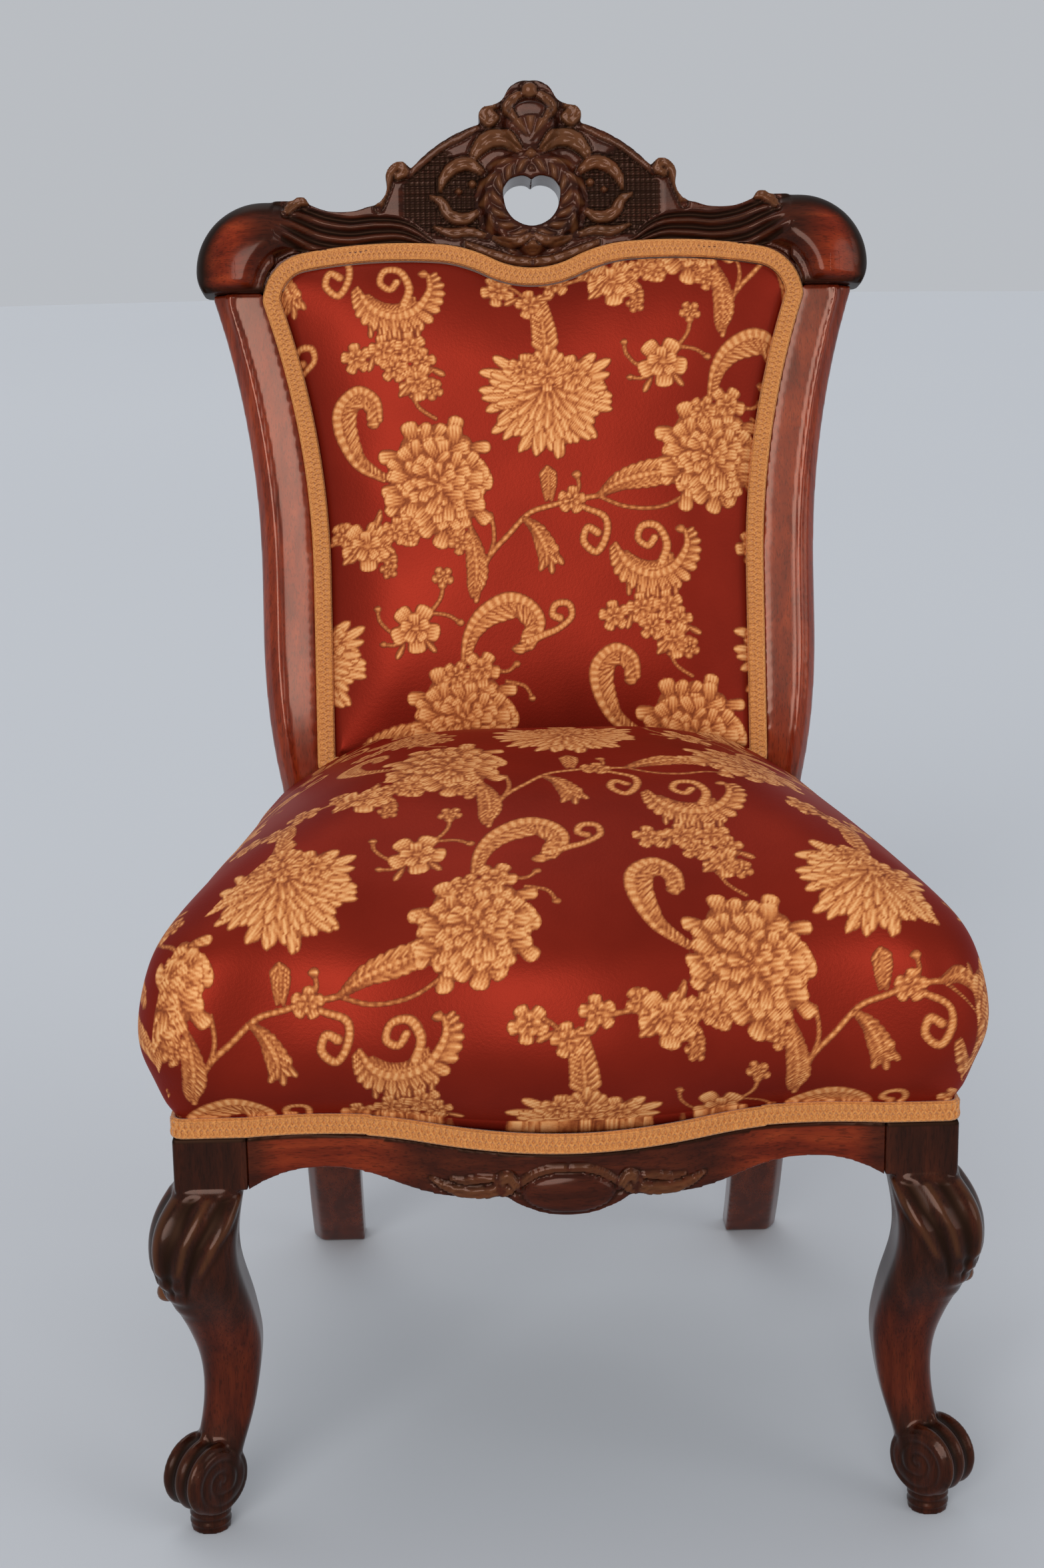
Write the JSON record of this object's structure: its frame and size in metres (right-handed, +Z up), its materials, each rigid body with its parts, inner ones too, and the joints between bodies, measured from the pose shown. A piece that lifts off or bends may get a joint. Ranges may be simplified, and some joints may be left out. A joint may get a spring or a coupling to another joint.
{
  "type": "parlor side chair",
  "caption": "Upholstered parlor chair with carved cabriole front legs, raked back posts, a sprung overstuffed seat and a padded back under a pierced crest rail.",
  "frame": {"origin": "on the floor, under the middle of the chair's overall box", "axes": "+Z up, +Y towards the chair's back, +X to the right of someone who faces the chair's front"},
  "size_m": [0.576, 0.6072, 0.9802],
  "materials": {
    "mahogany": "dark red-brown mahogany, polished",
    "beech": "plain beech, unpolished",
    "damask": "dark red satin damask with gold flowers",
    "gimp_braid": "orange-gold gimp braid",
    "hessian": "jute webbing and hessian",
    "hair_stuffing": "curled hair and wadding",
    "steel": "dull steel",
    "black_calico": "black calico"
  },
  "bodies": {
    "root": {"back_cover": "damask", "back_gimp": "gimp_braid", "back_hessian": "hessian", "back_post_left": "mahogany", "back_post_right": "mahogany", "back_strap_1": "hessian", "back_strap_2": "hessian", "back_strap_3": "hessian", "back_stuffing": "hair_stuffing", "corner_block_front_left": "beech", "corner_block_front_right": "beech", "corner_block_rear_left": "beech", "corner_block_rear_right": "beech", "corner_block_screws": "steel", "crest_dowels": "beech", "crest_rail": "mahogany", "dust_cover": "black_calico", "front_leg_left": "mahogany", "front_leg_right": "mahogany", "front_rail_dowels": "beech", "front_seat_rail": "mahogany", "lower_back_rail": "mahogany", "lower_back_rail_dowels": "beech", "outer_back_cover": "damask", "outer_back_gimp": "gimp_braid", "rear_rail_dowels": "beech", "rear_seat_rail": "mahogany", "seat_cover": "damask", "seat_gimp": "gimp_braid", "seat_spring_front_left": "steel", "seat_spring_front_middle": "steel", "seat_spring_front_right": "steel", "seat_spring_rear_left": "steel", "seat_spring_rear_right": "steel", "seat_strap_crosswise_1": "hessian", "seat_strap_crosswise_2": "hessian", "seat_strap_crosswise_3": "hessian", "seat_strap_crosswise_4": "hessian", "seat_strap_lengthwise_1": "hessian", "seat_strap_lengthwise_2": "hessian", "seat_strap_lengthwise_3": "hessian", "seat_strap_lengthwise_4": "hessian", "seat_stuffing": "hair_stuffing", "side_rail_dowels": "beech", "side_seat_rail_left": "mahogany", "side_seat_rail_right": "mahogany", "spring_hessian": "hessian", "webbing_tacks": "steel"}
  },
  "joints": []
}
